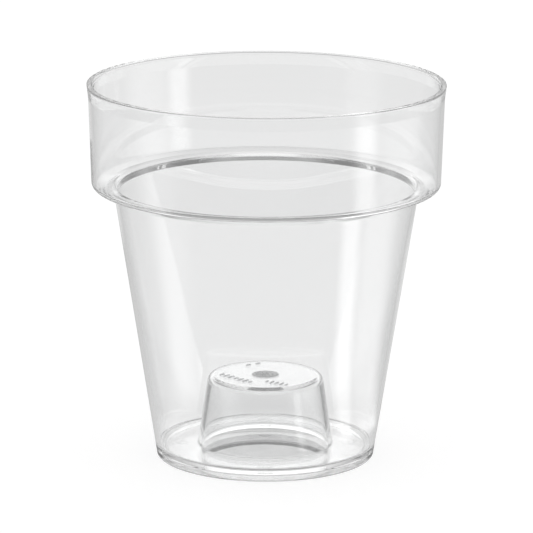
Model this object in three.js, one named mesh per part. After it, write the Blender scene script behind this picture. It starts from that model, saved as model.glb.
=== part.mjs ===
// Clear orchid pot, millimetres, +Z up, standing on z = 0 with its axis on Z.
// The pot is one clear plastic moulding. It is divided into the zones of its wall,
// which meet face to face along straight seams across the wall.
import * as THREE from "three";

// Whole pot
const POT_HEIGHT = 139.1;
const WALL = 1.6;

// Rim: the collar's wall thickens and flares a little towards an edge that is rounded on the inside
const RIM_FLARE = 0.42;
const RIM_WIDTH = 2.6;
const RIM_TAPER = 5.0;
const RIM_OUTER_EDGE_RADIUS = 0.2;
const RIM_INNER_EDGE_RADIUS = 1.25;

// Collar: the upright band under the rim
const COLLAR_TOP_RADIUS = 65.0;
const COLLAR_HEIGHT = 37.6;
const COLLAR_DRAFT = THREE.MathUtils.degToRad(1.8);
const COLLAR_OUTER_CORNER_RADIUS = 1.8;
const COLLAR_INNER_CORNER_RADIUS = 0.45;

// Ledge: the step from the collar in to the body, falling a little towards the inside
const LEDGE_THICKNESS = 1.35;
const LEDGE_TOP_WIDTH = 4.9;
const LEDGE_TOP_FALL = 0.5;
const LEDGE_UNDER_FALL = 1.25;
const LIP_DROP = 0.6;
const LIP_RADIUS = 1.6;
const ROOT_WIDTH = 2.0;
const ROOT_HEIGHT = 1.8;
const ROOT_RADIUS = 1.0;
const LEDGE_MARGIN = 2.2;

// Body: the tapered wall
const BASE_RADIUS = 40.1;
const BODY_DRAFT = THREE.MathUtils.degToRad(8.96);

// Base: a rounded heel, a low ring to stand on and a raised flat floor that reaches in to the pedestal
const HEEL_RADIUS = 0.3;
const STANDING_RING_WIDTH = 3.0;
const STANDING_RING_HEIGHT = 2.3;
const FLOOR_THICKNESS = 1.9;
const FLOOR_WIDTH = 15.2;
const FLOOR_CORNER_RADIUS = 1.4;
const HEEL_MARGIN = 2.0;

// Pedestal: a hollow tapered stand in the middle of the floor
const PEDESTAL_HEIGHT = 29.8;
const PEDESTAL_DRAFT = THREE.MathUtils.degToRad(8.4);
const PEDESTAL_WALL = 1.6;
const PEDESTAL_SHOULDER_RADIUS = 2.6;
const PEDESTAL_INNER_RADIUS = 1.0;
const PEDESTAL_FOOT_FILLET = 0.3;
const PEDESTAL_MOUTH_RADIUS = 0.2;
const PEDESTAL_MARGIN = 2.0;

// Gate mark: the dished spot with a stub where the plastic entered the mould
const GATE_RADIUS = 5.0;
const GATE_DISH_DEPTH = 0.5;
const GATE_STUB_RADIUS = 1.2;
const GATE_STUB_HEIGHT = 0.35;

// Ejector pads: small round pads under the floor
const PAD_RADIUS = 2.8;
const PAD_HEIGHT = 0.4;
const PAD_SIDES = 24;

// Smoothness of the turned shapes
const TURN_STEPS = 64;
const ARC_STEPS = 4;

const CLEAR_PLASTIC = 0xe6ecee;

const point = (radius, height) => new THREE.Vector2(radius, height);

// The arc that rounds a corner of a section, from the line before it to the line after it.
function roundedCorner(before, corner, after, radius) {
  const toBefore = before.clone().sub(corner).normalize();
  const toAfter = after.clone().sub(corner).normalize();
  const halfAngle = Math.acos(toBefore.dot(toAfter)) / 2;
  const setback = radius / Math.tan(halfAngle);
  const start = corner.clone().addScaledVector(toBefore, setback);
  const end = corner.clone().addScaledVector(toAfter, setback);
  const toCentre = toBefore.clone().add(toAfter).normalize();
  const centre = corner.clone().addScaledVector(toCentre, radius / Math.sin(halfAngle));
  const startAngle = start.clone().sub(centre).angle();
  const turn = end.clone().sub(centre).angle() - startAngle;
  const shortTurn = Math.atan2(Math.sin(turn), Math.cos(turn));
  const arc = [];
  for (let step = 0; step <= ARC_STEPS; step += 1) {
    const angle = startAngle + (shortTurn * step) / ARC_STEPS;
    arc.push(point(centre.x + radius * Math.cos(angle), centre.y + radius * Math.sin(angle)));
  }
  return arc;
}

function clearPlastic() {
  return new THREE.MeshStandardMaterial({
    color: CLEAR_PLASTIC,
    roughness: 0.05,
    metalness: 0,
    transparent: true,
    opacity: 0.3,
  });
}

// A section turned once round the Z axis. It runs up its outer side and down its inner side.
function turned(name, section) {
  const geometry = new THREE.LatheGeometry(section, TURN_STEPS);
  geometry.rotateX(Math.PI / 2);
  const mesh = new THREE.Mesh(geometry, clearPlastic());
  mesh.name = name;
  return mesh;
}

const ring = (name, section) => turned(name, [...section, section[0]]);

// Radius of each tapered face at a height
const collarFoot = POT_HEIGHT - COLLAR_HEIGHT;
const collarOuter = (z) => COLLAR_TOP_RADIUS - (POT_HEIGHT - z) * Math.tan(COLLAR_DRAFT);
const collarInner = (z) => collarOuter(z) - WALL / Math.cos(COLLAR_DRAFT);
const bodyOuter = (z) => BASE_RADIUS + z * Math.tan(BODY_DRAFT);
const bodyInner = (z) => bodyOuter(z) - WALL / Math.cos(BODY_DRAFT);
const floorTop = STANDING_RING_HEIGHT + FLOOR_THICKNESS;
const pedestalFootRadius = BASE_RADIUS - FLOOR_WIDTH;
const pedestalOuter = (z) => pedestalFootRadius - (z - floorTop) * Math.tan(PEDESTAL_DRAFT);
const pedestalInner = (z) => pedestalOuter(z) - PEDESTAL_WALL / Math.cos(PEDESTAL_DRAFT);

// Points on the faces
const onCollarOuter = (z) => point(collarOuter(z), z);
const onCollarInner = (z) => point(collarInner(z), z);
const onBodyOuter = (z) => point(bodyOuter(z), z);
const onBodyInner = (z) => point(bodyInner(z), z);
const onPedestalOuter = (z) => point(pedestalOuter(z), z);
const onPedestalInner = (z) => point(pedestalInner(z), z);

// Corners of the ledge
const ledgeInnerCorner = onCollarInner(collarFoot + LEDGE_THICKNESS);
const ledgeTopBreak = point(
  ledgeInnerCorner.x - LEDGE_TOP_WIDTH,
  ledgeInnerCorner.y - LEDGE_TOP_FALL,
);
const lip = onBodyInner(ledgeTopBreak.y - LIP_DROP);
const ledgeOuterCorner = onCollarOuter(collarFoot);
const rootHeight = collarFoot - LEDGE_UNDER_FALL - ROOT_HEIGHT;
const root = onBodyOuter(rootHeight);
const ledgeUnderBreak = point(root.x + ROOT_WIDTH, root.y + ROOT_HEIGHT);

// Heights and radii of the seams between zones
const rimSeam = POT_HEIGHT - RIM_TAPER;
const collarSeam = ledgeInnerCorner.y + COLLAR_INNER_CORNER_RADIUS + LEDGE_MARGIN;
const bodySeam = root.y - LEDGE_MARGIN;
const heelSeam = floorTop + FLOOR_CORNER_RADIUS + HEEL_MARGIN;
const ringInner = BASE_RADIUS - STANDING_RING_WIDTH;
const floorCornerEnd = bodyInner(floorTop) - FLOOR_CORNER_RADIUS;
const floorSeam = Math.min(floorCornerEnd, ringInner) - HEEL_MARGIN / 2;
const mouthEnd = pedestalInner(STANDING_RING_HEIGHT) + PEDESTAL_MOUTH_RADIUS;
const mouthTop = STANDING_RING_HEIGHT + PEDESTAL_MOUTH_RADIUS;
const footSeam = Math.max(pedestalFootRadius + PEDESTAL_FOOT_FILLET, mouthEnd) + PEDESTAL_MARGIN / 2;
const pedestalLowSeam = Math.max(floorTop + PEDESTAL_FOOT_FILLET, mouthTop) + PEDESTAL_MARGIN;
const pedestalHighSeam = PEDESTAL_HEIGHT - PEDESTAL_SHOULDER_RADIUS - PEDESTAL_MARGIN;
const pedestalCeiling = PEDESTAL_HEIGHT - PEDESTAL_WALL;

function rimLip() {
  const outerFoot = onCollarOuter(rimSeam);
  const innerFoot = onCollarInner(rimSeam);
  const outerTop = point(COLLAR_TOP_RADIUS + RIM_FLARE, POT_HEIGHT);
  const innerTop = point(outerTop.x - RIM_WIDTH, POT_HEIGHT);
  return ring("rim_lip", [
    outerFoot,
    ...roundedCorner(outerFoot, outerTop, innerTop, RIM_OUTER_EDGE_RADIUS),
    ...roundedCorner(outerTop, innerTop, innerFoot, RIM_INNER_EDGE_RADIUS),
    innerFoot,
  ]);
}

function collarWall() {
  return ring("collar_wall", [
    onCollarOuter(collarSeam),
    onCollarOuter(rimSeam),
    onCollarInner(rimSeam),
    onCollarInner(collarSeam),
  ]);
}

function collarLedge() {
  const bodyOuterSeam = onBodyOuter(bodySeam);
  const bodyInnerSeam = onBodyInner(bodySeam);
  const collarOuterSeam = onCollarOuter(collarSeam);
  const collarInnerSeam = onCollarInner(collarSeam);
  return ring("collar_ledge", [
    bodyOuterSeam,
    ...roundedCorner(bodyOuterSeam, root, ledgeUnderBreak, ROOT_RADIUS),
    ledgeUnderBreak,
    ...roundedCorner(
      ledgeUnderBreak,
      ledgeOuterCorner,
      collarOuterSeam,
      COLLAR_OUTER_CORNER_RADIUS,
    ),
    collarOuterSeam,
    collarInnerSeam,
    ...roundedCorner(
      collarInnerSeam,
      ledgeInnerCorner,
      ledgeTopBreak,
      COLLAR_INNER_CORNER_RADIUS,
    ),
    ledgeTopBreak,
    ...roundedCorner(ledgeTopBreak, lip, bodyInnerSeam, LIP_RADIUS),
    bodyInnerSeam,
  ]);
}

function bodyWall() {
  return ring("body_wall", [
    onBodyOuter(heelSeam),
    onBodyOuter(bodySeam),
    onBodyInner(bodySeam),
    onBodyInner(heelSeam),
  ]);
}

function baseHeel() {
  const ringTop = point(ringInner, STANDING_RING_HEIGHT);
  const ringFoot = point(ringInner, 0);
  const heel = onBodyOuter(0);
  const outerSeam = onBodyOuter(heelSeam);
  const innerSeam = onBodyInner(heelSeam);
  const floorCorner = onBodyInner(floorTop);
  const floorEdge = point(floorSeam, floorTop);
  return ring("base_heel", [
    point(floorSeam, STANDING_RING_HEIGHT),
    ringTop,
    ringFoot,
    ...roundedCorner(ringFoot, heel, outerSeam, HEEL_RADIUS),
    outerSeam,
    innerSeam,
    ...roundedCorner(innerSeam, floorCorner, floorEdge, FLOOR_CORNER_RADIUS),
    floorEdge,
  ]);
}

function floorRing() {
  return ring("floor_ring", [
    point(footSeam, STANDING_RING_HEIGHT),
    point(floorSeam, STANDING_RING_HEIGHT),
    point(floorSeam, floorTop),
    point(footSeam, floorTop),
  ]);
}

function pedestalFoot() {
  const outerSeam = onPedestalOuter(pedestalLowSeam);
  const innerSeam = onPedestalInner(pedestalLowSeam);
  const mouth = onPedestalInner(STANDING_RING_HEIGHT);
  const underEdge = point(footSeam, STANDING_RING_HEIGHT);
  const floorEdge = point(footSeam, floorTop);
  return ring("pedestal_foot", [
    innerSeam,
    ...roundedCorner(innerSeam, mouth, underEdge, PEDESTAL_MOUTH_RADIUS),
    underEdge,
    floorEdge,
    ...roundedCorner(floorEdge, onPedestalOuter(floorTop), outerSeam, PEDESTAL_FOOT_FILLET),
    outerSeam,
  ]);
}

function pedestalWall() {
  return ring("pedestal_wall", [
    onPedestalOuter(pedestalLowSeam),
    onPedestalOuter(pedestalHighSeam),
    onPedestalInner(pedestalHighSeam),
    onPedestalInner(pedestalLowSeam),
  ]);
}

function pedestalTop() {
  const outerSeam = onPedestalOuter(pedestalHighSeam);
  const innerSeam = onPedestalInner(pedestalHighSeam);
  const shoulder = onPedestalOuter(PEDESTAL_HEIGHT);
  const gateEdge = point(GATE_RADIUS, PEDESTAL_HEIGHT);
  const gateUnder = point(GATE_RADIUS, pedestalCeiling);
  const ceilingCorner = onPedestalInner(pedestalCeiling);
  return ring("pedestal_top", [
    outerSeam,
    ...roundedCorner(outerSeam, shoulder, gateEdge, PEDESTAL_SHOULDER_RADIUS),
    gateEdge,
    gateUnder,
    ...roundedCorner(gateUnder, ceilingCorner, innerSeam, PEDESTAL_INNER_RADIUS),
    innerSeam,
  ]);
}

// The dish is deepest in the middle, where the stub stands, and runs out at the edge of the mark.
function gateMark() {
  const dishHeight = (radius) => {
    const share = radius / GATE_RADIUS;
    return PEDESTAL_HEIGHT - GATE_DISH_DEPTH * (1 - share * share);
  };
  const stubTop = dishHeight(0) + GATE_STUB_HEIGHT;
  const section = [point(0, pedestalCeiling), point(GATE_RADIUS, pedestalCeiling)];
  for (let step = 0; step <= ARC_STEPS; step += 1) {
    const radius = THREE.MathUtils.lerp(GATE_RADIUS, GATE_STUB_RADIUS, step / ARC_STEPS);
    section.push(point(radius, dishHeight(radius)));
  }
  section.push(point(GATE_STUB_RADIUS, stubTop), point(0, stubTop));
  return turned("gate_mark", section);
}

// Four pads a quarter turn apart, midway between the pedestal and the standing ring.
function ejectorPads() {
  const padCircle = (pedestalFootRadius + ringInner) / 2;
  const sides = ["right", "back", "left", "front"];
  return sides.map((side, index) => {
    const geometry = new THREE.CylinderGeometry(PAD_RADIUS, PAD_RADIUS, PAD_HEIGHT, PAD_SIDES);
    geometry.rotateX(Math.PI / 2);
    const mesh = new THREE.Mesh(geometry, clearPlastic());
    const angle = (index * Math.PI) / 2;
    mesh.name = `ejector_pad_${side}`;
    mesh.position.set(
      padCircle * Math.cos(angle),
      padCircle * Math.sin(angle),
      STANDING_RING_HEIGHT - PAD_HEIGHT / 2,
    );
    return mesh;
  });
}

const pot = new THREE.Group();
pot.add(rimLip(), collarWall(), collarLedge(), bodyWall(), baseHeel(), floorRing());
pot.add(pedestalFoot(), pedestalWall(), pedestalTop(), gateMark(), ...ejectorPads());

export default pot;
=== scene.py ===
"""Clear orchid pot: the looks of one clear plastic moulding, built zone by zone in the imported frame."""
import math

import bpy
from mathutils import Matrix, Vector


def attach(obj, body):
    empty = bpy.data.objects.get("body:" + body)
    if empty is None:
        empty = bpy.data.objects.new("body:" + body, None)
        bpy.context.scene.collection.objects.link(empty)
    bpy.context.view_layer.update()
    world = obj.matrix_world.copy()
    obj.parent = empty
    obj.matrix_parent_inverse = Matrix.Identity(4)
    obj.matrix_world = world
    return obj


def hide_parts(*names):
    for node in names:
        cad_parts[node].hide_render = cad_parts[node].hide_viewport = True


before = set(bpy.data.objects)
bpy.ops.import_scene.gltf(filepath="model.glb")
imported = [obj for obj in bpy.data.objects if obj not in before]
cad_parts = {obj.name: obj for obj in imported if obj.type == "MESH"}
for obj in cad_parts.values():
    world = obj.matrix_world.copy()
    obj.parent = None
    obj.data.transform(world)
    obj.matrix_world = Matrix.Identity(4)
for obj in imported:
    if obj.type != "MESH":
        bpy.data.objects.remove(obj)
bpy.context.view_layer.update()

MM = 0.001

# Sizes of the section, in millimetres, as in the part's source
POT_HEIGHT = 139.1
WALL = 1.6
RIM_FLARE = 0.42
RIM_WIDTH = 2.6
RIM_TAPER = 5.0
RIM_OUTER_EDGE_RADIUS = 0.2
RIM_INNER_EDGE_RADIUS = 1.25
COLLAR_TOP_RADIUS = 65.0
COLLAR_HEIGHT = 37.6
COLLAR_DRAFT = math.radians(1.8)
COLLAR_OUTER_CORNER_RADIUS = 1.8
COLLAR_INNER_CORNER_RADIUS = 0.45
LEDGE_THICKNESS = 1.35
LEDGE_TOP_WIDTH = 4.9
LEDGE_TOP_FALL = 0.5
LEDGE_TOP_RADIUS = 0.3
LEDGE_UNDER_FALL = 1.25
LEDGE_UNDER_RADIUS = 1.8
LIP_DROP = 0.6
LIP_RADIUS = 1.6
ROOT_WIDTH = 2.0
ROOT_HEIGHT = 1.8
ROOT_RADIUS = 1.0
LEDGE_MARGIN = 2.2
BASE_RADIUS = 40.1
BODY_DRAFT = math.radians(8.96)
HEEL_RADIUS = 0.3
STANDING_RING_WIDTH = 3.0
STANDING_RING_HEIGHT = 2.3
RING_EDGE_RADIUS = 0.4
FLOOR_THICKNESS = 1.9
FLOOR_WIDTH = 15.2
FLOOR_CORNER_RADIUS = 1.4
HEEL_MARGIN = 2.0
PEDESTAL_HEIGHT = 29.8
PEDESTAL_DRAFT = math.radians(8.4)
PEDESTAL_WALL = 1.6
PEDESTAL_SHOULDER_RADIUS = 2.6
PEDESTAL_INNER_RADIUS = 1.0
PEDESTAL_FOOT_FILLET = 0.3
PEDESTAL_MOUTH_RADIUS = 0.2
PEDESTAL_MARGIN = 2.0
GATE_RADIUS = 5.0
GATE_DISH_DEPTH = 0.5
GATE_STUB_RADIUS = 1.2
GATE_STUB_HEIGHT = 0.35
GATE_STUB_TAPER = 0.1
GATE_STUB_EDGE_RADIUS = 0.15
PAD_RADIUS = 2.8
PAD_HEIGHT = 0.4
PAD_EDGE_RADIUS = 0.12

# Fineness of the turned meshes. A straight stretch has points SUPPORT in from its ends
# and at most LONGEST_STEP apart, which keep its shading straight.
TURN_STEPS = 288
ARC_STEP = math.radians(7.0)
ARC_LEAST_STEPS = 3
DISH_STEPS = 14
SUPPORT = 0.12
LONGEST_STEP = 6.0
ON_AXIS = 1e-9
CREASE = math.radians(40.0)


def arc(before, corner, after, radius):
    """The points that round a corner of a section."""
    corner_at = Vector(corner)
    to_before = (Vector(before) - corner_at).normalized()
    to_after = (Vector(after) - corner_at).normalized()
    half = to_before.angle(to_after) / 2
    start = corner_at + to_before * (radius / math.tan(half))
    end = corner_at + to_after * (radius / math.tan(half))
    centre = corner_at + (to_before + to_after).normalized() * (radius / math.sin(half))
    first = math.atan2(start.y - centre.y, start.x - centre.x)
    last = math.atan2(end.y - centre.y, end.x - centre.x)
    turn = (last - first + math.pi) % (2 * math.pi) - math.pi
    steps = max(ARC_LEAST_STEPS, math.ceil(abs(turn) / ARC_STEP))
    angles = [first + turn * k / steps for k in range(steps + 1)]
    return [(centre.x + radius * math.cos(a), centre.y + radius * math.sin(a)) for a in angles]


def refined(run):
    """A run of section points with the extra points of its straight stretches."""
    points = [run[0]]
    for a, b in zip(run, run[1:]):
        length = math.dist(a, b)
        shares = []
        if length > 4 * SUPPORT:
            inner = length - 2 * SUPPORT
            pieces = max(1, math.ceil(inner / LONGEST_STEP))
            shares = [(SUPPORT + inner * k / pieces) / length for k in range(pieces + 1)]
        for t in shares:
            points.append((a[0] + (b[0] - a[0]) * t, a[1] + (b[1] - a[1]) * t))
        points.append(b)
    return points


# Faces and corners of the section
def collar_outer(z):
    return (COLLAR_TOP_RADIUS - (POT_HEIGHT - z) * math.tan(COLLAR_DRAFT), z)


def collar_inner(z):
    return (collar_outer(z)[0] - WALL / math.cos(COLLAR_DRAFT), z)


def body_outer(z):
    return (BASE_RADIUS + z * math.tan(BODY_DRAFT), z)


def body_inner(z):
    return (body_outer(z)[0] - WALL / math.cos(BODY_DRAFT), z)


def pedestal_outer(z):
    return (BASE_RADIUS - FLOOR_WIDTH - (z - FLOOR_TOP) * math.tan(PEDESTAL_DRAFT), z)


def pedestal_inner(z):
    return (pedestal_outer(z)[0] - PEDESTAL_WALL / math.cos(PEDESTAL_DRAFT), z)


FLOOR_TOP = STANDING_RING_HEIGHT + FLOOR_THICKNESS
COLLAR_FOOT = POT_HEIGHT - COLLAR_HEIGHT
ledge_corner = collar_inner(COLLAR_FOOT + LEDGE_THICKNESS)
ledge_break = (ledge_corner[0] - LEDGE_TOP_WIDTH, ledge_corner[1] - LEDGE_TOP_FALL)
lip = body_inner(ledge_break[1] - LIP_DROP)
root = body_outer(COLLAR_FOOT - LEDGE_UNDER_FALL - ROOT_HEIGHT)
under_break = (root[0] + ROOT_WIDTH, root[1] + ROOT_HEIGHT)
under_corner = collar_outer(COLLAR_FOOT)
rim_seam = POT_HEIGHT - RIM_TAPER
collar_seam = ledge_corner[1] + COLLAR_INNER_CORNER_RADIUS + LEDGE_MARGIN
body_seam = root[1] - LEDGE_MARGIN
heel_seam = FLOOR_TOP + FLOOR_CORNER_RADIUS + HEEL_MARGIN
ring_inner = BASE_RADIUS - STANDING_RING_WIDTH
floor_seam = min(body_inner(FLOOR_TOP)[0] - FLOOR_CORNER_RADIUS, ring_inner) - HEEL_MARGIN / 2
mouth_end = pedestal_inner(STANDING_RING_HEIGHT)[0] + PEDESTAL_MOUTH_RADIUS
mouth_top = STANDING_RING_HEIGHT + PEDESTAL_MOUTH_RADIUS
foot_seam = max(BASE_RADIUS - FLOOR_WIDTH + PEDESTAL_FOOT_FILLET, mouth_end) + PEDESTAL_MARGIN / 2
pedestal_low = max(FLOOR_TOP + PEDESTAL_FOOT_FILLET, mouth_top) + PEDESTAL_MARGIN
pedestal_high = PEDESTAL_HEIGHT - PEDESTAL_SHOULDER_RADIUS - PEDESTAL_MARGIN
ceiling = PEDESTAL_HEIGHT - PEDESTAL_WALL


# Runs of skin round each zone's section
def rim_runs():
    outer_foot = collar_outer(rim_seam)
    inner_foot = collar_inner(rim_seam)
    outer_top = (COLLAR_TOP_RADIUS + RIM_FLARE, POT_HEIGHT)
    inner_top = (outer_top[0] - RIM_WIDTH, POT_HEIGHT)
    return [[
        outer_foot,
        *arc(outer_foot, outer_top, inner_top, RIM_OUTER_EDGE_RADIUS),
        *arc(outer_top, inner_top, inner_foot, RIM_INNER_EDGE_RADIUS),
        inner_foot,
    ]]


def wall_runs(outer, inner, low, high):
    return [[outer(low), outer(high)], [inner(high), inner(low)]]


def ledge_runs():
    outer_low = body_outer(body_seam)
    outer_high = collar_outer(collar_seam)
    inner_high = collar_inner(collar_seam)
    inner_low = body_inner(body_seam)
    return [
        [
            outer_low,
            *arc(outer_low, root, under_break, ROOT_RADIUS),
            *arc(root, under_break, under_corner, LEDGE_UNDER_RADIUS),
            *arc(under_break, under_corner, outer_high, COLLAR_OUTER_CORNER_RADIUS),
            outer_high,
        ],
        [
            inner_high,
            *arc(inner_high, ledge_corner, ledge_break, COLLAR_INNER_CORNER_RADIUS),
            *arc(ledge_corner, ledge_break, lip, LEDGE_TOP_RADIUS),
            *arc(ledge_break, lip, inner_low, LIP_RADIUS),
            inner_low,
        ],
    ]


def heel_runs():
    under = (floor_seam, STANDING_RING_HEIGHT)
    ring_top = (ring_inner, STANDING_RING_HEIGHT)
    ring_foot = (ring_inner, 0.0)
    heel = body_outer(0.0)
    outer_high = body_outer(heel_seam)
    inner_high = body_inner(heel_seam)
    corner = body_inner(FLOOR_TOP)
    floor_edge = (floor_seam, FLOOR_TOP)
    return [
        [
            under,
            *arc(under, ring_top, ring_foot, RING_EDGE_RADIUS),
            *arc(ring_top, ring_foot, heel, RING_EDGE_RADIUS),
            *arc(ring_foot, heel, outer_high, HEEL_RADIUS),
            outer_high,
        ],
        [inner_high, *arc(inner_high, corner, floor_edge, FLOOR_CORNER_RADIUS), floor_edge],
    ]


def floor_runs():
    return [
        [(foot_seam, STANDING_RING_HEIGHT), (floor_seam, STANDING_RING_HEIGHT)],
        [(floor_seam, FLOOR_TOP), (foot_seam, FLOOR_TOP)],
    ]


def foot_runs():
    outer_high = pedestal_outer(pedestal_low)
    inner_high = pedestal_inner(pedestal_low)
    mouth = pedestal_inner(STANDING_RING_HEIGHT)
    under = (foot_seam, STANDING_RING_HEIGHT)
    floor_edge = (foot_seam, FLOOR_TOP)
    return [
        [inner_high, *arc(inner_high, mouth, under, PEDESTAL_MOUTH_RADIUS), under],
        [
            floor_edge,
            *arc(floor_edge, pedestal_outer(FLOOR_TOP), outer_high, PEDESTAL_FOOT_FILLET),
            outer_high,
        ],
    ]


def top_runs():
    outer_low = pedestal_outer(pedestal_high)
    inner_low = pedestal_inner(pedestal_high)
    gate_edge = (GATE_RADIUS, PEDESTAL_HEIGHT)
    gate_under = (GATE_RADIUS, ceiling)
    return [
        [
            outer_low,
            *arc(outer_low, pedestal_outer(PEDESTAL_HEIGHT), gate_edge, PEDESTAL_SHOULDER_RADIUS),
            gate_edge,
        ],
        [
            gate_under,
            *arc(gate_under, pedestal_inner(ceiling), inner_low, PEDESTAL_INNER_RADIUS),
            inner_low,
        ],
    ]


def dish(radius):
    share = radius / GATE_RADIUS
    return PEDESTAL_HEIGHT - GATE_DISH_DEPTH * (1 - share * share)


def gate_runs():
    reach = GATE_STUB_RADIUS - GATE_RADIUS
    slope = [GATE_RADIUS + reach * k / DISH_STEPS for k in range(DISH_STEPS + 1)]
    stub_top = dish(0.0) + GATE_STUB_HEIGHT
    foot = (GATE_STUB_RADIUS, dish(GATE_STUB_RADIUS))
    shoulder = (GATE_STUB_RADIUS - GATE_STUB_TAPER, stub_top)
    return [
        [(0.0, ceiling), (GATE_RADIUS, ceiling)],
        [
            *[(radius, dish(radius)) for radius in slope],
            *arc(foot, shoulder, (0.0, stub_top), GATE_STUB_EDGE_RADIUS),
            (0.0, stub_top),
        ],
    ]


def pad_runs():
    bottom = (0.0, STANDING_RING_HEIGHT - PAD_HEIGHT)
    edge = (PAD_RADIUS, bottom[1])
    top_edge = (PAD_RADIUS, STANDING_RING_HEIGHT)
    return [
        [bottom, *arc(bottom, edge, top_edge, PAD_EDGE_RADIUS), top_edge],
        [(0.0, STANDING_RING_HEIGHT)],
    ]


class NodeTools:
    """Short ways to make the nodes of one material or of the world."""

    def __init__(self, tree):
        self.tree = tree

    def new(self, kind):
        return self.tree.nodes.new("ShaderNode" + kind)

    def join(self, value, socket):
        """Feeds a socket with a plain number or with another node's output."""
        if isinstance(value, (int, float)):
            socket.default_value = value
        else:
            self.tree.links.new(value, socket)

    def maths(self, operation, *values):
        node = self.new("Math")
        node.operation = operation
        for socket, value in zip(node.inputs, values):
            self.join(value, socket)
        return node.outputs[0]

    def blend(self, share, first, last):
        kept = self.maths("MULTIPLY", self.maths("SUBTRACT", 1.0, share), first)
        return self.maths("ADD", kept, self.maths("MULTIPLY", share, last))

    def spread(self, value, start, end, first=0.0, last=1.0):
        """A value carried from one range to another in a straight line, and held at the ends."""
        node = self.new("MapRange")
        self.join(value, node.inputs["Value"])
        for key, number in (("From Min", start), ("From Max", end), ("To Min", first), ("To Max", last)):
            node.inputs[key].default_value = number
        return node.outputs[0]

    def ramp(self, *limits):
        """The same, with a soft start and end."""
        output = self.spread(*limits)
        output.node.interpolation_type = "SMOOTHSTEP"
        return output

    def piece_place(self):
        return self.new("TexCoord").outputs["Object"]

    def noise(self, scale, detail, stretch=(1.0, 1.0, 1.0)):
        mapping = self.new("Mapping")
        mapping.inputs["Scale"].default_value = stretch
        self.join(self.piece_place(), mapping.inputs["Vector"])
        node = self.new("TexNoise")
        node.inputs["Scale"].default_value = scale
        node.inputs["Detail"].default_value = detail
        self.join(mapping.outputs[0], node.inputs["Vector"])
        return node.outputs["Fac"]

    def cell_edges(self, scale):
        node = self.new("TexVoronoi")
        node.feature = "DISTANCE_TO_EDGE"
        node.inputs["Scale"].default_value = scale
        self.join(self.piece_place(), node.inputs["Vector"])
        return node.outputs["Distance"]

    def bump(self, height, depth, under=None):
        node = self.new("Bump")
        node.inputs["Distance"].default_value = depth
        self.join(height, node.inputs["Height"])
        if under is not None:
            self.join(under, node.inputs["Normal"])
        return node.outputs[0]

    def tint(self, value, dark, light):
        node = self.new("ValToRGB")
        node.color_ramp.elements[0].color = (*dark, 1.0)
        node.color_ramp.elements[1].color = (*light, 1.0)
        self.join(value, node.inputs[0])
        return node.outputs[0]

    def emission(self, strength):
        node = self.new("Emission")
        self.join(strength, node.inputs["Strength"])
        return node.outputs[0]

    def grey(self, kind, level):
        node = self.new(kind)
        node.inputs["Color"].default_value = (level, level, level, 1.0)
        return node

    def added(self, first, second):
        node = self.new("AddShader")
        self.join(first, node.inputs[0])
        self.join(second, node.inputs[1])
        return node.outputs[0]

    def mixed(self, share, first, last):
        node = self.new("MixShader")
        for socket, value in zip(node.inputs, (share, first, last)):
            self.join(value, socket)
        return node.outputs[0]

    def finish(self, kind, surface):
        self.join(surface, self.new(kind).inputs["Surface"])


# The plastic. A noise is its scale per metre, its detail and its stretch, a range is the start and end
# of a value and what they become, and depths are in metres.
PLASTIC_IOR = 1.58
TINT_NOISE = (22.0, 2.0)
TINT_COLOURS = ((0.985, 0.989, 0.990), (1.0, 1.0, 1.0))
RUB_NOISE = (60.0, 4.0, (1.0, 1.0, 0.35))
RUB_RANGE = (0.58, 0.75, 0.0, 0.035)
WAVE_NOISE = (26.0, 1.0, (1.0, 1.0, 0.3))
WAVE_DEPTH = 0.00012
FROST_NOISE = (420.0, 3.0)
FROST_COLOURS = ((0.42, 0.43, 0.44), (1.0, 1.0, 1.0))
GRAIN_NOISE = (1500.0, 3.0)
GRAIN_RANGE = (0.35, 0.65, 0.08, 0.5)
CRACK_SCALE = 620.0
CRACK_RANGE = (0.0, 0.12)
CRACK_DEPTH = 0.00025
PIT_NOISE = (2200.0, 2.0)
PIT_DEPTH = 0.00012


def clear_shader(name):
    material = bpy.data.materials.new(name)
    material.use_nodes = True
    shader = material.node_tree.nodes["Principled BSDF"]
    shader.inputs["Transmission Weight"].default_value = 1.0
    shader.inputs["IOR"].default_value = PLASTIC_IOR
    return material, shader.inputs, NodeTools(material.node_tree)


def polished_plastic():
    """Clear polystyrene from a polished mould, with faint flow waves and a few rubbed patches."""
    material, inputs, nodes = clear_shader("clear_polystyrene")
    nodes.join(nodes.tint(nodes.noise(*TINT_NOISE), *TINT_COLOURS), inputs["Base Color"])
    nodes.join(nodes.spread(nodes.noise(*RUB_NOISE), *RUB_RANGE), inputs["Roughness"])
    nodes.join(nodes.bump(nodes.noise(*WAVE_NOISE), WAVE_DEPTH), inputs["Normal"])
    return material


def crackled_plastic():
    """The gate mark: the same plastic, frosted and crackled where the feed was broken off."""
    material, inputs, nodes = clear_shader("crackled_polystyrene")
    nodes.join(nodes.tint(nodes.noise(*FROST_NOISE), *FROST_COLOURS), inputs["Base Color"])
    nodes.join(nodes.spread(nodes.noise(*GRAIN_NOISE), *GRAIN_RANGE), inputs["Roughness"])
    pits = nodes.bump(nodes.noise(*PIT_NOISE), PIT_DEPTH)
    cracks = nodes.spread(nodes.cell_edges(CRACK_SCALE), *CRACK_RANGE)
    nodes.join(nodes.bump(cracks, CRACK_DEPTH, pits), inputs["Normal"])
    return material


def inner_seam():
    """Where two zones meet inside the plastic: light passes as if nothing were there."""
    material = bpy.data.materials.new("seam_inside_plastic")
    material.use_nodes = True
    material.node_tree.nodes.clear()
    nodes = NodeTools(material.node_tree)
    nodes.finish("OutputMaterial", nodes.new("BsdfTransparent").outputs[0])
    return material


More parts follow.
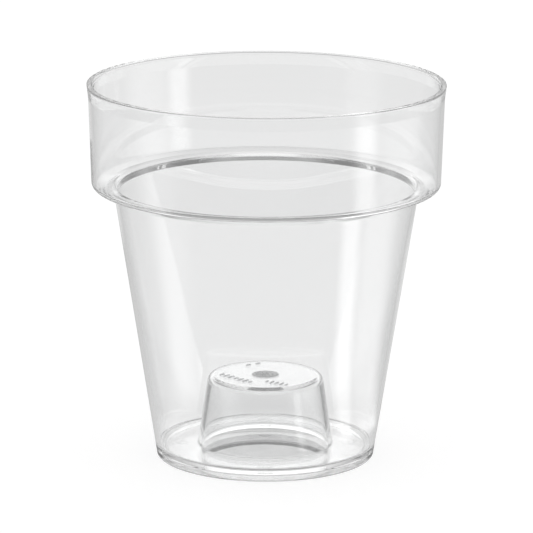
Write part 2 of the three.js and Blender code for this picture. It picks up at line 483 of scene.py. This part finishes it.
clear_plastic = polished_plastic()
gate_plastic = crackled_plastic()
seam_material = inner_seam()
SKIN = 0
SEAM = 1


def new_piece(name, verts, faces, kinds, skin):
    """A mesh object whose faces are each skin or seam."""
    mesh = bpy.data.meshes.new(name)
    mesh.from_pydata(verts, [], faces)
    mesh.materials.append(skin)
    mesh.materials.append(seam_material)
    mesh.polygons.foreach_set("material_index", kinds)
    mesh.update()
    piece = bpy.data.objects.new(name, mesh)
    bpy.context.scene.collection.objects.link(piece)
    return piece


def turned(name, runs, skin):
    """A closed turned solid. Each run is skin, and the straight cuts that join the runs are seams."""
    section = []
    seams = set()
    for run in runs:
        section.extend(refined(run))
        seams.add(len(section) - 1)
    closed = section[-1][0] > 0 or section[0][0] > 0
    verts = []
    rings = []
    for radius, height in section:
        if radius < ON_AXIS:
            rings.append([len(verts)] * TURN_STEPS)
            verts.append((0.0, 0.0, height * MM))
            continue
        ring = []
        for k in range(TURN_STEPS):
            angle = 2 * math.pi * k / TURN_STEPS
            ring.append(len(verts))
            verts.append((radius * math.cos(angle) * MM, radius * math.sin(angle) * MM, height * MM))
        rings.append(ring)
    faces = []
    kinds = []
    count = len(rings) if closed else len(rings) - 1
    for i in range(count):
        low = rings[i]
        high = rings[(i + 1) % len(rings)]
        for k in range(TURN_STEPS):
            n = (k + 1) % TURN_STEPS
            corners = list(dict.fromkeys((low[k], low[n], high[n], high[k])))
            if len(corners) > 2:
                faces.append(corners)
                kinds.append(SEAM if i in seams else SKIN)
    piece = new_piece(name, verts, faces, kinds, skin)
    piece.data.polygons.foreach_set("use_smooth", [True] * len(faces))
    piece.data.update()
    piece.data.set_sharp_from_angle(angle=CREASE)
    return piece


def add(piece, *nodes):
    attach(piece, "root")
    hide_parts(*nodes)


ZONES = (
    ("rim_lip", rim_runs()),
    ("collar_wall", wall_runs(collar_outer, collar_inner, collar_seam, rim_seam)),
    ("collar_ledge", ledge_runs()),
    ("body_wall", wall_runs(body_outer, body_inner, heel_seam, body_seam)),
    ("base_heel", heel_runs()),
    ("floor_ring", floor_runs()),
    ("pedestal_foot", foot_runs()),
    ("pedestal_wall", wall_runs(pedestal_outer, pedestal_inner, pedestal_low, pedestal_high)),
    ("pedestal_top", top_runs()),
    ("gate_mark", gate_runs()),
)
for zone, runs in ZONES:
    add(turned("clear_" + zone, runs, gate_plastic if zone == "gate_mark" else clear_plastic), zone)

# Pads under the floor
pad_circle = (BASE_RADIUS - FLOOR_WIDTH + ring_inner) / 2 * MM
for index, side in enumerate(("right", "back", "left", "front")):
    pad = turned("clear_ejector_pad_" + side, pad_runs(), clear_plastic)
    angle = index * math.pi / 2
    place = (pad_circle * math.cos(angle), pad_circle * math.sin(angle), 0.0)
    pad.data.transform(Matrix.Translation(place))
    add(pad, "ejector_pad_" + side)

# Moulded strokes on the pedestal's top: plain raised bars in rows, in millimetres and degrees.
# A row is its side, its first and last place, the turn of its bars and their lengths.
STROKE_WIDTH = 0.7
STROKE_HEIGHT = 0.4
STROKE_BEVEL = 0.25
STROKE_END_STEPS = 6
STROKE_ROWS = (
    ("left", (-16.0, -1.2), (-5.5, -11.5), 42.0, (2.4, 3.2, 3.2, 2.4, 3.2, 3.2, 2.0)),
    ("front", (0.6, -10.6), (7.6, -15.2), 60.0, (2.2, 3.2, 3.2, 3.2, 2.2)),
    ("back", (-6.4, 12.4), (-2.8, 14.6), 30.0, (2.2, 2.2)),
)


def bar(x, y, angle, length):
    """The closed shell of one raised bar with round ends: its points and its faces, the foot first."""
    straight_half = (length - STROKE_WIDTH) / 2
    bevel_foot = STROKE_HEIGHT - STROKE_BEVEL
    rings = []
    for inset, height in ((0.0, 0.0), (0.0, bevel_foot), (STROKE_BEVEL, STROKE_HEIGHT)):
        radius = STROKE_WIDTH / 2 - inset
        ring = []
        for end, turn in ((1, -math.pi / 2), (-1, math.pi / 2)):
            for k in range(STROKE_END_STEPS + 1):
                bend = turn + math.pi * k / STROKE_END_STEPS
                along = end * straight_half + radius * math.cos(bend)
                across = radius * math.sin(bend)
                ring.append((
                    (x + along * math.cos(angle) - across * math.sin(angle)) * MM,
                    (y + along * math.sin(angle) + across * math.cos(angle)) * MM,
                    (PEDESTAL_HEIGHT + height) * MM,
                ))
        rings.append(ring)
    count = len(rings[0])
    faces = [list(range(count))[::-1]]
    for level in range(len(rings) - 1):
        low = level * count
        high = low + count
        for k in range(count):
            n = (k + 1) % count
            faces.append([low + k, low + n, high + n, high + k])
    top = (len(rings) - 1) * count
    faces.append([top + k for k in range(count)])
    return [point for ring in rings for point in ring], faces


def stroke_row(side, start, end, turn, lengths):
    """A row of bars from one place to another, all turned one way and standing on a seam."""
    verts = []
    faces = []
    kinds = []
    for k, length in enumerate(lengths):
        t = k / (len(lengths) - 1)
        x = start[0] + (end[0] - start[0]) * t
        y = start[1] + (end[1] - start[1]) * t
        points, shell = bar(x, y, math.radians(turn), length)
        faces.extend([[len(verts) + i for i in face] for face in shell])
        kinds.extend([SEAM] + [SKIN] * (len(shell) - 1))
        verts.extend(points)
    return new_piece("clear_stroke_row_" + side, verts, faces, kinds, gate_plastic)


for row in STROKE_ROWS:
    add(stroke_row(*row), "pedestal_top")

# Light of the room by elevation in degrees, as steps from one level to the next: start, end and level
# reached. The direct light is seen straight through the pot, the mirrored light in its faces.
DIRECT_LEVEL = 0.88
DIRECT_STEPS = ((24.0, 33.0, 0.17), (46.0, 58.0, 0.9))
MIRRORED_LEVEL = 0.05
MIRRORED_LOW = 1.0
MIRRORED_STEPS = ((8.0, 14.0, 1.32), (17.0, 24.0, 0.2))
MIRRORED_HIGH = 0.98
# Where the mirrored room turns light, in degrees: low down behind the pot and in front of it,
# high up over its middle and over its sides, and dimmer again at the top
LIGHT_BEHIND = (2.5, 4.5)
LIGHT_IN_FRONT = (4.5, 9.0)
LIGHT_OVERHEAD = (30.0, 50.0)
LIGHT_OVER_SIDES = (66.0, 80.0)
DIM_TOP = (72.0, 82.0)
DIM_TOP_SHARE = 0.6
# Degrees round the pot from straight behind it, where behind turns to in front, and the sine of that
# angle where the sides begin
FRONT_ANGLE = (30.0, 60.0)
SIDE_SINE = (0.45, 0.7)
# Mirrorings inside the plastic: the count that tells mirrored from direct light, those over which light
# fades and the shares then left of the room's and the floor's, and those that leave only an even glow
MIRRORED_COUNT = 0.5
FADE_COUNT = (3.5, 9.5)
ROOM_FADE = 0.6
FLOOR_FADE = 0.4
GLOW_COUNT = (17.0, 24.0)
GLOW_LEVEL = 0.95


def studio_world():
    world = bpy.data.worlds.new("studio")
    bpy.context.scene.world = world
    world.use_nodes = True
    world.node_tree.nodes.clear()
    nodes = NodeTools(world.node_tree)
    maths, ramp, blend = nodes.maths, nodes.ramp, nodes.blend

    split = nodes.new("SeparateXYZ")
    nodes.join(nodes.new("TexCoord").outputs["Generated"], split.inputs[0])
    x, y, z = split.outputs
    path = nodes.new("LightPath").outputs
    mirrorings = path["Glossy Depth"]
    mirrored = maths("GREATER_THAN", mirrorings, MIRRORED_COUNT)
    height = maths("ARCSINE", z)
    round_angle = maths("ARCTAN2", x, y)

    def rise(limits, first=0.0, last=1.0):
        return ramp(height, math.radians(limits[0]), math.radians(limits[1]), first, last)

    def stepped(value, steps):
        total = value
        for start, end, level in steps:
            total = maths("ADD", total, rise((start, end), 0.0, level - value))
            value = level
        return total

    front_start, front_end = map(math.radians, FRONT_ANGLE)
    in_front = ramp(maths("ABSOLUTE", round_angle), front_start, front_end)
    aside = ramp(maths("ABSOLUTE", maths("SINE", round_angle)), *SIDE_SINE)
    low_gain = MIRRORED_LOW - MIRRORED_LEVEL
    high_gain = MIRRORED_HIGH - MIRRORED_STEPS[-1][2]
    low = maths("MULTIPLY", blend(in_front, rise(LIGHT_BEHIND), rise(LIGHT_IN_FRONT)), low_gain)
    high = maths("MULTIPLY", blend(aside, rise(LIGHT_OVERHEAD), rise(LIGHT_OVER_SIDES)), high_gain)
    middle = maths("SUBTRACT", stepped(MIRRORED_LOW, MIRRORED_STEPS), low_gain)
    seen = maths("ADD", maths("ADD", middle, low), high)
    seen = maths("MULTIPLY", seen, rise(DIM_TOP, 1.0, DIM_TOP_SHARE))
    seen = maths("MULTIPLY", seen, ramp(mirrorings, *FADE_COUNT, 1.0, ROOM_FADE))
    seen = blend(ramp(mirrorings, *GLOW_COUNT), seen, GLOW_LEVEL)
    room = blend(mirrored, stepped(DIRECT_LEVEL, DIRECT_STEPS), seen)
    light = nodes.new("Background")
    light.inputs["Color"].default_value = (1.0, 1.0, 1.0, 1.0)
    nodes.join(blend(path["Is Camera Ray"], room, 1.0), light.inputs["Strength"])
    nodes.finish("OutputWorld", light.outputs[0])


# The floor, in metres: what the camera sees of it, and its plain level through the pot
FLOOR_SIZE = 20.0
FLOOR_DROP = 0.00005
FLOOR_GLOW = 0.823
FLOOR_COLOUR = 0.35
FLOOR_WHITE = 0.87
# Changes of a level: start, end, first and last. The slant is 0 for a look from above and 1 for one
# along the floor, and a radius is measured from the pot's axis. The sheen values paint a sheen on the
# floor that the pot mirrors and the near values paint shade on it near the pot; the others paint the
# floor that is seen straight through it, darker from above away from the pot and a little dimmer far
# off, with a painted shadow close round the pot.
FACING_BLEND = 0.5
STEEP_SLANT = (0.42, 0.54, 0.5, FLOOR_WHITE)
STEEP_RADIUS = (0.17, 0.21)
FAR_RADIUS = (0.55, 0.72, 1.0, 0.95)
PAINTED_SHADOW_RADIUS = (0.06, 0.1, 0.91, 1.0)
PAINTED_SHEEN_SLANTS = ((0.25, 0.40, -0.45, 0.0), (0.47, 0.70, 1.08, 0.62), (0.85, 0.97, 0.0, -0.27))
NEAR_SHADE_SLANT = (0.765, 0.80, 0.0, -0.36)
NEAR_SHADE_RADIUS = (0.2, 0.42, 1.0, 0.0)
# The patch under the pot: polished, with painted shade that dims it and darkens it inside the pedestal
# and where the wall stands
PLATE_RADIUS = 0.043
PLATE_SHADE_LEVEL = 0.33
PLATE_POLISH = 0.51
PLATE_SLANT = (0.5, 0.7)
PLATE_MIRRORED_SLANT = (0.2, 0.4)
HOLLOW_RADIUS = (0.0232, 0.0240)
HOLLOW_SHADE_LEVEL = 0.07
CONTACT_RADIUS = 0.0362
CONTACT_SHADE_LEVEL = 0.29
# Painted highlights: bright stripes that run out over the floor and show only as bands mirrored in
# the wall: their direction, half width and soft edge in degrees, and their strength
PAINTED_HIGHLIGHT_STRIPES = ((116.0, 7.0, 5.0, 1.5), (88.0, 18.0, 12.0, 0.6), (-108.0, 12.0, 10.0, 0.4))
PAINTED_HIGHLIGHT_START = (0.055, 0.065)


def floor_material():
    material = bpy.data.materials.new("studio_floor")
    material.use_nodes = True
    material.node_tree.nodes.clear()
    nodes = NodeTools(material.node_tree)
    maths, ramp, blend = nodes.maths, nodes.ramp, nodes.blend
    emission, added, mixed = nodes.emission, nodes.added, nodes.mixed

    path = nodes.new("LightPath").outputs
    mirrorings = path["Glossy Depth"]
    mirrored = maths("GREATER_THAN", mirrorings, MIRRORED_COUNT)
    split = nodes.new("SeparateXYZ")
    nodes.join(nodes.new("NewGeometry").outputs["Position"], split.inputs[0])
    x, y = split.outputs[:2]
    radius = maths("SQRT", maths("ADD", maths("MULTIPLY", x, x), maths("MULTIPLY", y, y)))
    round_angle = maths("ARCTAN2", x, y)
    facing = nodes.new("LayerWeight")
    facing.inputs["Blend"].default_value = FACING_BLEND
    slant = facing.outputs["Facing"]

    # Painted shade on the mirrored floor near the pot, for looks along the floor
    sheen = maths("MULTIPLY", ramp(slant, *NEAR_SHADE_SLANT), ramp(radius, *NEAR_SHADE_RADIUS))
    # Painted sheen: the level of the mirrored floor set by the slant of the look
    for change in PAINTED_SHEEN_SLANTS:
        sheen = maths("ADD", sheen, ramp(slant, *change))
    # Painted highlights: bright bands over the floor, in set directions, that show only mirrored in the
    # wall
    highlight_share = ramp(radius, *PAINTED_HIGHLIGHT_START)
    for centre, half, edge, strength in PAINTED_HIGHLIGHT_STRIPES:
        off = maths("ABSOLUTE", maths("SUBTRACT", round_angle, math.radians(centre)))
        highlight_band = ramp(off, math.radians(half - edge), math.radians(half + edge), strength, 0.0)
        sheen = maths("ADD", sheen, maths("MULTIPLY", highlight_band, highlight_share))
    sheen = maths("MULTIPLY", sheen, ramp(mirrorings, *FADE_COUNT, 1.0, FLOOR_FADE))

    # Painted shade on the floor seen through the pot: darker from above away from it, a little dimmer far
    # off,
    straight = blend(ramp(radius, *STEEP_RADIUS), FLOOR_WHITE, ramp(slant, *STEEP_SLANT))
    # and a painted shadow close round the pot
    shade = maths("MULTIPLY", ramp(radius, *FAR_RADIUS), ramp(radius, *PAINTED_SHADOW_RADIUS))
    level = blend(mirrored, maths("MULTIPLY", straight, shade), sheen)

    polish = nodes.grey("BsdfGlossy", PLATE_POLISH)
    polish.inputs["Roughness"].default_value = 0.0
    low_look = blend(mirrored, ramp(slant, *PLATE_SLANT), ramp(slant, *PLATE_MIRRORED_SLANT))
    under_pot = maths("LESS_THAN", radius, PLATE_RADIUS)
    # Painted shade under the pot: a dim glow, darker still inside the pedestal
    glow = ramp(radius, *HOLLOW_RADIUS, HOLLOW_SHADE_LEVEL, PLATE_SHADE_LEVEL)
    plate = added(emission(glow), polish.outputs[0])
    surface = mixed(maths("MULTIPLY", under_pot, low_look), emission(level), plate)
    # Painted contact shade on the mirrored floor where the pot's wall stands
    contact_shade_share = maths("MULTIPLY", maths("GREATER_THAN", radius, CONTACT_RADIUS), under_pot)
    surface = mixed(maths("MULTIPLY", contact_shade_share, mirrored), surface, emission(CONTACT_SHADE_LEVEL))
    surface = mixed(ramp(mirrorings, *GLOW_COUNT), surface, emission(GLOW_LEVEL))
    matt = nodes.grey("BsdfDiffuse", FLOOR_COLOUR).outputs[0]
    surface = mixed(path["Is Camera Ray"], surface, added(emission(FLOOR_GLOW), matt))
    nodes.finish("OutputMaterial", surface)
    return material


def studio_floor():
    half = FLOOR_SIZE / 2
    corners = [(-half, -half), (half, -half), (half, half), (-half, half)]
    mesh = bpy.data.meshes.new("studio_floor")
    mesh.from_pydata([(x, y, -FLOOR_DROP) for x, y in corners], [], [(0, 1, 2, 3)])
    mesh.materials.append(floor_material())
    floor = bpy.data.objects.new("studio_floor", mesh)
    bpy.context.scene.collection.objects.link(floor)


studio_world()
studio_floor()

# Camera, fitted to the outline of the pot in the picture: metres, pixels and the sensor in millimetres
IMAGE_SIDE = 533.0
ELEVATION = math.radians(13.38)
DISTANCE = 1.375929
AIM_HEIGHT = 0.075403
FOCAL_PIXELS = 3747.391
ROLL = math.radians(0.236)
CENTRE_X = 265.913
CENTRE_Y = 253.378
SENSOR = 36.0


def photo_camera():
    data = bpy.data.cameras.new("camera")
    camera = bpy.data.objects.new("camera", data)
    bpy.context.scene.collection.objects.link(camera)
    ahead = Vector((0.0, math.cos(ELEVATION), -math.sin(ELEVATION)))
    level_up = Vector((0.0, math.sin(ELEVATION), math.cos(ELEVATION)))
    level_right = Vector((1.0, 0.0, 0.0))
    right = level_right * math.cos(ROLL) + level_up * math.sin(ROLL)
    up = level_up * math.cos(ROLL) - level_right * math.sin(ROLL)
    place = Vector((0.0, 0.0, AIM_HEIGHT)) - ahead * DISTANCE
    camera.matrix_world = Matrix((
        (right.x, up.x, -ahead.x, place.x),
        (right.y, up.y, -ahead.y, place.y),
        (right.z, up.z, -ahead.z, place.z),
        (0.0, 0.0, 0.0, 1.0),
    ))
    data.sensor_width = SENSOR
    data.lens = FOCAL_PIXELS * SENSOR / IMAGE_SIDE
    data.shift_x = (IMAGE_SIDE / 2 - CENTRE_X) / IMAGE_SIDE
    data.shift_y = (CENTRE_Y - IMAGE_SIDE / 2) / IMAGE_SIDE
    bpy.context.scene.camera = camera


photo_camera()

# Light runs far inside the clear wall and crosses many seams
LIGHT_BOUNCES = 72
SEAM_BOUNCES = 128
scene = bpy.context.scene
scene.view_settings.view_transform = "Standard"
scene.cycles.max_bounces = LIGHT_BOUNCES
scene.cycles.transmission_bounces = LIGHT_BOUNCES
scene.cycles.glossy_bounces = LIGHT_BOUNCES
scene.cycles.transparent_max_bounces = SEAM_BOUNCES
